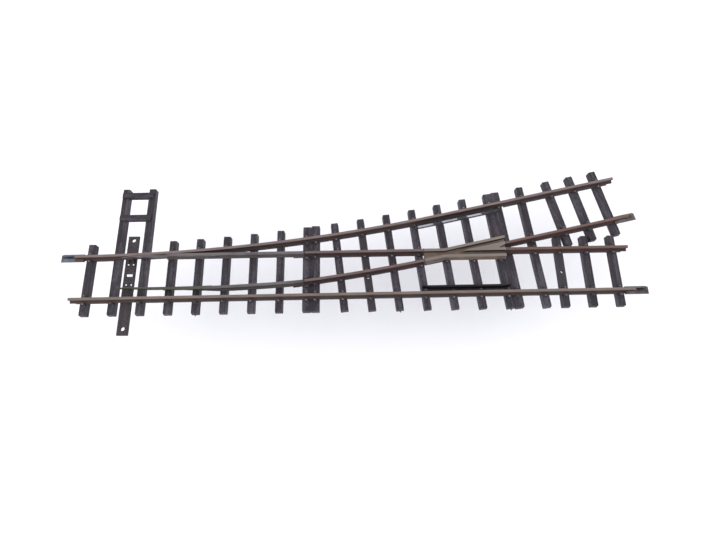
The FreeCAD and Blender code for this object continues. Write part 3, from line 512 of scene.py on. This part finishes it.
def web(line, offset, x0, x1):
    """The web under a rail between sleepers, laid in short straight steps along the rail's line."""
    steps = max(2, round((x1 - x0) / WEB_STEP))
    strip = block(0, (x1 - x0) / steps, -WEB_HALF, WEB_HALF, WEB_BOTTOM, SLEEPER_HEIGHT - WEB_SINK)
    pieces = []
    for index in range(steps):
        point, _ = line(offset, x0 + (x1 - x0) * index / steps)
        ahead, _ = line(offset, x0 + (x1 - x0) * (index + 1) / steps)
        heading = math.atan2(ahead.y - point.y, ahead.x - point.x)
        pieces.append(place_piece(copy_piece(strip), point.x, point.y, heading))
    bpy.data.objects.remove(strip)
    joined = join_pieces("web", pieces)
    return coat(mark_grain(round_edges(joined, 0.05 * MM, 1), along_x=True, seed=3), sleeper_plastic)


NAIL_RADIUS = 0.45 * MM
RECESS_RADIUS = 0.85 * MM
TOP_SKIN = 0.5 * MM


def nail_hole(timber, y):
    """Drills a fixing hole down through a timber on its centre line, wider below a thin top skin."""
    depth = 8 * MM
    for radius, top in ((NAIL_RADIUS, depth / 2), (RECESS_RADIUS, SLEEPER_HEIGHT - TOP_SKIN)):
        middle = (0, y, top - depth / 2)
        bpy.ops.mesh.primitive_cylinder_add(vertices=20, radius=radius, depth=depth, location=middle)
        drill = bpy.context.object
        cut = timber.modifiers.new("hole", "BOOLEAN")
        cut.object = drill
        bpy.context.view_layer.objects.active = timber
        bpy.ops.object.modifier_apply(modifier="hole")
        bpy.data.objects.remove(drill)


def gate_stub(timber):
    """The torn stub of the moulding's feed, under the near end of a timber."""
    bpy.ops.mesh.primitive_cone_add(vertices=10, radius1=0.34 * MM, radius2=0.12 * MM, depth=1.3 * MM)
    stub = bpy.context.object
    tip_over = Matrix.Rotation(math.pi / 2.2, 4, "X")
    stub.data.transform(Matrix.Translation((0, 0.12 * MM, 0.7 * MM)) @ tip_over)
    coat(mark_grain(round_edges(stub, 0.05 * MM, 1)), sleeper_plastic)
    return join_pieces("timber", [timber, stub])


def timbers(sleepers, seed, twins, hole=None, stubs=()):
    """The sleepers of one moulding, each with its own grain; those that touch a twin have upright sides."""
    made = []
    for number, (x, y, tilt, near, far) in enumerate(sleepers):
        length, own_seed = near + far, seed + number
        if number in twins:
            timber = sawn_timber(length, TWIN_WIDTH, SLEEPER_HEIGHT, own_seed, draft=1.0, crease=0.9)
        else:
            timber = sawn_timber(length, SLEEPER_WIDTH, SLEEPER_HEIGHT, own_seed)
        if number in stubs:
            timber = gate_stub(timber)
        timber.data.transform(Matrix.Translation((0, -near, 0)))
        if hole and number == hole[0]:
            nail_hole(timber, (hole[1] - y) / math.cos(tilt))
        made.append(place_piece(timber, x, y, tilt))
    return made


toe_row = [crosswise(FIRST_SLEEPER + i * PITCH) for i in range(9)]
for headblock in (1, 2):
    toe_row[headblock] = crosswise(toe_row[headblock][0], far_y=HEADBLOCK_END)
closure_x = toe_row[-1][0] + TWIN_STEP
closure_row = [crosswise(closure_x + i * PITCH, tilt=SKEW if i else 0.0) for i in range(8)]
heel_x = closure_row[-1][0] + TWIN_STEP
wide_row = [crosswise(heel_x + i * PITCH, tilt=SKEW) for i in range(2)]
last_x = ROUTE_LENGTH - FIRST_SLEEPER
straight_row = [crosswise(last_x - i * PITCH, far_y=HALF_SLEEPER) for i in (2, 1, 0)]
tail_row = [tail_sleeper(TAIL_LENGTH - TAIL_FIRST - i * TAIL_PITCH) for i in (2, 1, 0)]

WEB_END = 1.1 * MM
BRIDGE_STARTS = (18.05 * MM, 25.4 * MM)
BRIDGE_WIDTH = 2.05 * MM
BRIDGE_HEIGHT = 1.3 * MM
BRIDGE_BOTTOM = 1.2 * MM
BRIDGE_OVERHANG = 0.42 * MM

toe_parts = timbers(toe_row, 10, twins=(8,), stubs=(4,))
toe_parts.append(web(straight_point, -RAIL, WEB_END, toe_row[1][0]))
toe_parts.append(web(straight_point, -RAIL, toe_row[2][0], toe_row[8][0]))
toe_parts.append(web(diverging_point, RAIL, toe_row[0][0], toe_row[1][0]))
toe_parts.append(web(diverging_point, RAIL, toe_row[2][0], toe_row[8][0]))
toe_parts += clips_at([toe_row[0], toe_row[-1]], straight_point, -RAIL)
toe_parts += clips_at([toe_row[0], toe_row[-1]], diverging_point, RAIL)
toe_parts += clips_at(toe_row[1:-1], straight_point, -RAIL, sides=(-1,))
toe_parts += clips_at(toe_row[1:-1], diverging_point, RAIL, sides=(1,))
toe_parts += clips_at(toe_row[-1:], straight_point, RAIL, sides="loose")
toe_parts += clips_at(toe_row[-1:], diverging_point, -RAIL, sides="loose")
for number, y in enumerate(BRIDGE_STARTS):
    length = toe_row[2][0] - toe_row[1][0] + 1.3 * MM
    bridge = sawn_timber(length, BRIDGE_WIDTH, BRIDGE_HEIGHT, 40 + number)
    bridge.data.transform(Matrix.Translation((0, 0, BRIDGE_BOTTOM)))
    place_piece(bridge, toe_row[2][0] + BRIDGE_OVERHANG, y + BRIDGE_WIDTH / 2, math.pi / 2)
    toe_parts.append(bridge)
toe_sleepers = join_pieces("toe_sleepers", toe_parts)
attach(toe_sleepers, "base")
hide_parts("toe_sleeper_base")

FLANGEWAY_WEB = 1.15 * MM
FROG_CLIP_LINE = 4.37 * MM

closure_parts = timbers(closure_row, 20, twins=(0, 7), hole=(2, -0.95 * MM), stubs=(3, 7))
closure_parts.append(web(straight_point, -RAIL, closure_row[0][0], closure_row[-1][0]))
closure_parts.append(web(straight_point, RAIL, closure_row[0][0], closure_row[-1][0] - 2 * MM))
closure_parts.append(web(diverging_point, -RAIL, closure_row[0][0], closure_row[-1][0] - 2 * MM))
closure_parts.append(web(diverging_point, RAIL, closure_row[0][0], closure_row[-1][0] - 3 * MM))
check_start = closure_row[4][0] - MM
closure_parts.append(web(straight_point, -RAIL + FLANGEWAY_WEB, check_start, closure_row[-1][0]))
closure_parts += clips_at(closure_row, straight_point, -RAIL)
closure_parts += clips_at(closure_row, diverging_point, RAIL)
closure_parts += clips_at(closure_row[:5], straight_point, RAIL)
closure_parts += clips_at(closure_row[:5], diverging_point, -RAIL)
closure_parts += clips_at(closure_row[5:], straight_point, FROG_CLIP_LINE, sides=(-1,))
closure_sleepers = join_pieces("closure_sleepers", closure_parts)
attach(closure_sleepers, "base")
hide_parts("closure_sleeper_base")

heel_parts = timbers(wide_row + straight_row + tail_row, 30, twins=(0,), hole=(2, -0.3 * MM))
heel_parts.append(web(straight_point, -RAIL, wide_row[0][0], straight_row[-1][0]))
heel_parts.append(web(straight_point, RAIL, wide_row[0][0], ROUTE_LENGTH - WEB_END))
heel_parts.append(web(diverging_point, -RAIL, wide_row[0][0], tail_row[-1][0]))
tail_end = (RADIUS - RAIL) * math.sin(TURN) + (TAIL_LENGTH - WEB_END) * math.cos(TURN)
heel_parts.append(web(diverging_point, RAIL, wide_row[0][0] - MM, tail_end))
heel_parts += clips_at(wide_row + straight_row, straight_point, -RAIL)
heel_parts += clips_at(wide_row[1:] + straight_row, straight_point, RAIL)
heel_parts += clips_at(wide_row + tail_row, diverging_point, RAIL)
heel_parts += clips_at(wide_row[1:] + tail_row[:-1], diverging_point, -RAIL)
heel_sleepers = join_pieces("heel_sleepers", heel_parts)
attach(heel_sleepers, "base")
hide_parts("heel_sleeper_base")

for clip in CLIPS.values():
    bpy.data.objects.remove(clip)


# ---- Rails ----
# Flat-bottomed nickel silver rail, sprayed brown and wiped on top, held by its foot in the clips.
# Where wheels run the paint is worn to tan metal; the sides stay rust brown, darker low down with grime and
# painted shade.


def painted_rail(name, worn, side, rust):
    """Brown paint, worn to metal on the head's top: colours of the worn top, the side and the rust."""
    material, shader, place = finish(name, Specular_IOR_Level=0.35)
    height = place.part(2)
    facing = place.node("ShaderNodeNewGeometry", {}, {}, output=1).part(2)
    grime = place.noise(700, detail=4, stretch=(0.5, 1, 1))
    scuff = place.noise(2200, detail=3, stretch=(0.08, 1, 1), roughness=0.6)
    patch = place.noise(90, detail=2)
    top = height.between(3.55 * MM, 3.72 * MM) * facing.between(0.35, 0.8)
    bare = top * (patch * 0.5 + scuff * 0.7 + 0.25).between(0.25, 0.75)
    rusty = (patch * 0.6 + grime * 0.6).between(0.42, 0.72)
    # Painted shade: the rail is darkened towards its web and foot, where shade falls under the head, mixed
    # with grime.
    low = 1 - height.between(2.1 * MM, 3.1 * MM)
    paint = rusty.blend(side, rust)
    grime_and_low_shade = (low * 0.5 + grime * 0.25).blend(paint, (0.034, 0.027, 0.029))
    streaked = scuff.between(0.3, 0.7).blend(worn, [c * 0.72 for c in worn])
    wear(
        shader,
        Base_Color=bare.blend(grime_and_low_shade, streaked),
        Metallic=bare * 0.08,
        Roughness=0.66 - 0.18 * bare + 0.12 * grime,
        Normal=(grime * (1 - bare) + scuff * 0.35).bump(0.03 * MM),
    )
    return material


olive_rail = painted_rail("olive_rail", (0.190, 0.148, 0.125), (0.062, 0.045, 0.038), (0.092, 0.058, 0.042))
brown_rail = painted_rail("brown_rail", (0.195, 0.150, 0.142), (0.052, 0.035, 0.034), (0.092, 0.052, 0.042))
dark_rail = painted_rail("dark_rail", (0.160, 0.112, 0.106), (0.036, 0.022, 0.025), (0.072, 0.030, 0.028))
rusty_rail = painted_rail("rusty_rail", (0.145, 0.088, 0.072), (0.048, 0.025, 0.024), (0.100, 0.042, 0.031))
for node, material in (
    ("straight_stock_rail", olive_rail),
    ("curved_stock_rail", brown_rail),
    ("straight_closure_rail", dark_rail),
    ("curved_closure_rail", dark_rail),
    ("straight_exit_rail", rusty_rail),
    ("diverging_exit_rail", rusty_rail),
):
    coat(frame["nodes"][node], material)


# ---- Blades and their fork clips ----
# Two bare planed rails, filed thin at the tip; each turns on a hidden stud at its heel.
# A folded spring-metal fork under each tip drops its prongs into the throwbar.


def planed_metal(name, bright, dull, tip=None):
    """Bare nickel silver with file marks along X, painted shade darkening it towards the foot and, if
    given, a tip colour.
    """
    material, shader, place = finish(name, Metallic=0.3, Specular_IOR_Level=0.35)
    height = place.part(2)
    marks = place.noise(2600, detail=3, stretch=(0.05, 1, 1), roughness=0.6)
    patch = place.noise(130, detail=3)
    # Painted shade: the colour darkens towards the foot, below the head; the file marks add faint darker
    # streaks.
    low = 1 - height.between(2.2 * MM, 3.3 * MM)
    metal = patch.between(0.38, 0.66).blend(bright, dull)
    if tip:
        metal = place.part(0).between(28 * MM, 56 * MM).blend(tip, metal)
    wear(
        shader,
        Base_Color=(low * 0.55 + marks * 0.2).blend(metal, (0.060, 0.052, 0.048)),
        Roughness=0.38 + 0.22 * marks + 0.12 * low,
        Normal=marks.bump(0.012 * MM),
    )
    return material


lilac = ((0.160, 0.143, 0.148), (0.098, 0.082, 0.082))
coat(frame["nodes"]["straight_blade"], planed_metal("lilac_blade", *lilac))
coat(frame["nodes"]["curved_blade"], planed_metal("green_blade", *lilac, tip=(0.066, 0.070, 0.046)))
fork_metal = planed_metal("fork_metal", (0.085, 0.080, 0.066), (0.045, 0.042, 0.036))
for node in ("straight_blade_clip", "curved_blade_clip"):
    coat(frame["nodes"][node], fork_metal)


# ---- Heel straps, studs and bond wires ----
# Brass straps let into the sleepers, browned with age, carry the studs that the blades turn on.
# Bare copper wires in grooves underneath feed the closure rails.


def dull_metal(name, clean, tarnished, roughness=0.38, painted_from=None):
    """Soft metal with cloudy tarnish; with painted_from, it is rail brown past that X."""
    material, shader, place = finish(name, Metallic=0.6 if painted_from is not None else 0.95)
    cloud = place.noise(420, detail=4)
    colour = cloud.between(0.35, 0.65).blend(clean, tarnished)
    if painted_from is not None:
        paint = place.part(0).between(painted_from, painted_from + 0.5 * MM)
        colour = paint.blend(colour, (0.060, 0.042, 0.034))
    wear(
        shader,
        Base_Color=colour,
        Roughness=roughness + 0.2 * cloud,
        Normal=cloud.bump(0.01 * MM),
    )
    return material


brass = dull_metal("brass", (0.15, 0.105, 0.085), (0.085, 0.055, 0.045))
for node in ("straight_heel_strap", "curved_heel_strap", "heel_studs"):
    coat(frame["nodes"][node], brass)
coat(frame["nodes"]["bond_wires"], dull_metal("copper", (0.55, 0.27, 0.15), (0.24, 0.11, 0.07)))


# ---- Frog and its insulating chips ----
# One nickel silver casting: floor, two wing rails and the vee, sanded on top, dull in the flangeways, with
# painted shade on its upright inner walls.
# Dark plastic chips keep it apart from the rails at both ends.


def cast_metal():
    """Grey-tan cast metal, rubbed brighter on the running faces and painted near black on the upright inner
    walls as shade.
    """
    material, shader, place = finish("cast_metal", Metallic=0.15)
    pits = place.noise(3200, detail=3)
    cloud = place.noise(260, detail=3)
    upright = 1 - place.node("ShaderNodeNewGeometry", {}, {}, output=1).part(2).between(0.35, 0.8)
    # Painted shade: upright walls past this line are coloured near black, where shade falls in the
    # flangeways.
    painted_shade_wall = upright * place.part(1).between(4.6 * MM, 4.9 * MM)
    rubbed = place.part(2).between(3.6 * MM, 3.78 * MM) * (0.55 + 0.6 * cloud) * (1 - painted_shade_wall)
    bare = cloud.between(0.35, 0.66).blend((0.190, 0.140, 0.106), (0.135, 0.098, 0.078))
    skin = (painted_shade_wall * 0.9).blend(bare, (0.012, 0.008, 0.007))
    wear(
        shader,
        Base_Color=rubbed.blend(skin, (0.176, 0.148, 0.130)),
        Roughness=0.52 - 0.14 * rubbed + 0.16 * pits,
        Normal=(pits * (1 - 0.7 * rubbed)).bump(0.03 * MM),
    )
    return material


def soften(node, name, width):
    """Copies a CAD node, merges its triangles into whole faces, and rounds its edges."""
    piece = copy_piece(frame["nodes"][node])
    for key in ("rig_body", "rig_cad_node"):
        if key in piece:
            del piece[key]
    piece.parent = None
    piece.name = name
    piece.data.name = name
    bpy.ops.object.select_all(action="DESELECT")
    piece.select_set(True)
    bpy.context.view_layer.objects.active = piece
    bpy.ops.object.mode_set(mode="EDIT")
    bpy.ops.mesh.select_all(action="SELECT")
    bpy.ops.mesh.remove_doubles(threshold=MM / 1000)
    bpy.ops.mesh.dissolve_limited(angle_limit=math.radians(1))
    bpy.ops.object.mode_set(mode="OBJECT")
    round_edges(piece, width, 2)
    bpy.ops.object.shade_smooth_by_angle(angle=math.radians(35))
    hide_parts(node)
    return piece


frog = coat(soften("frog_casting", "frog", 0.07 * MM), cast_metal())
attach(frog, "base")


def moulded_chip():
    """Dark matt plastic with a fine mould texture."""
    material, shader, place = finish("moulded_chip", Roughness=0.6)
    speck = place.noise(2400, detail=2)
    colour = speck.blend((0.035, 0.030, 0.032), (0.075, 0.066, 0.066))
    wear(shader, Base_Color=colour, Normal=speck.bump(0.02 * MM))
    return material


chip_plastic = moulded_chip()
for node in ("frog_toe_insulators", "frog_heel_insulators"):
    coat(frame["nodes"][node], chip_plastic)


# ---- Check rails ----
# Strips with a semi-gloss black skin, clipped on the sleepers opposite the frog, with flared ends.
# The far strip's near face is bright and smooth, and mirrors the white table.


def bright_face():
    """Smooth bare metal with fine drawing lines along the strip."""
    material, shader, place = finish("bright_face", Metallic=0.9)
    line = place.noise(2600, detail=2, stretch=(0.03, 1, 1))
    haze = place.noise(260, detail=2)
    wear(
        shader,
        Base_Color=haze.between(0.35, 0.65).blend((0.60, 0.59, 0.64), (0.42, 0.41, 0.45)),
        Roughness=0.10 + 0.14 * line,
        Normal=line.bump(0.004 * MM),
    )
    return material


def black_gloss():
    """Black plastic with a soft ripple and fine rub marks."""
    material, shader, place = finish("black_gloss", Specular_IOR_Level=0.3)
    ripple = place.noise(120, detail=1)
    rub = place.noise(2400, detail=2, stretch=(0.1, 1, 1))
    wear(
        shader,
        Base_Color=rub.blend((0.005, 0.004, 0.005), (0.012, 0.010, 0.012)),
        Roughness=0.30 + 0.12 * rub,
        Normal=(ripple + 0.05 * rub).bump(0.008 * MM),
    )
    return material


gloss = black_gloss()
for node, name in (("straight_check_rail", "near_check_rail"), ("curved_check_rail", "far_check_rail")):
    check_rail = coat(soften(node, name, 0.08 * MM), gloss)
    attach(check_rail, "base")

check_rail.data.materials.append(bright_face())
for face in check_rail.data.polygons:
    if face.normal.y < -0.25:
        face.material_index = 1


# ---- Throwbar ----
# A stamped fibre strip that slides under the rails; the drive's pin goes in a hole at either end.
# It is dark reddish black and faintly furry.


def pressed_fibre():
    """Reddish-black fibre board with fine woven flecks."""
    material, shader, place = finish("pressed_fibre")
    fleck = place.noise(2300, detail=4, stretch=(1, 0.6, 1), roughness=0.7)
    patch = place.noise(300, detail=2)
    wear(
        shader,
        Base_Color=fleck.between(0.38, 0.72).blend((0.015, 0.010, 0.013), (0.052, 0.038, 0.042)),
        Roughness=0.55 + 0.2 * patch,
        Normal=fleck.bump(0.035 * MM),
    )
    return material


bar = coat(soften("throwbar", "throw_bar", 0.06 * MM), pressed_fibre())
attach(bar, "throwbar")


# ---- Rail joiners ----
# Folded sheet channels that grip a rail's foot and take the next rail's foot in their open half.
# One is blued, with rail paint over its gripped half; two are bare, dulled to grey and grey-brown.

blued = dull_metal("blued_sheet", (0.125, 0.140, 0.175), (0.070, 0.080, 0.100), painted_from=-0.7 * MM)
grey = dull_metal("grey_sheet", (0.125, 0.112, 0.114), (0.070, 0.062, 0.063), 0.42)
brown = dull_metal("brown_sheet", (0.145, 0.133, 0.118), (0.085, 0.074, 0.065), 0.42)
for node, sheet in (
    ("toe_rail_joiner", blued),
    ("straight_heel_joiner", grey),
    ("diverging_heel_joiner", brown),
):
    coat(frame["nodes"][node], sheet)
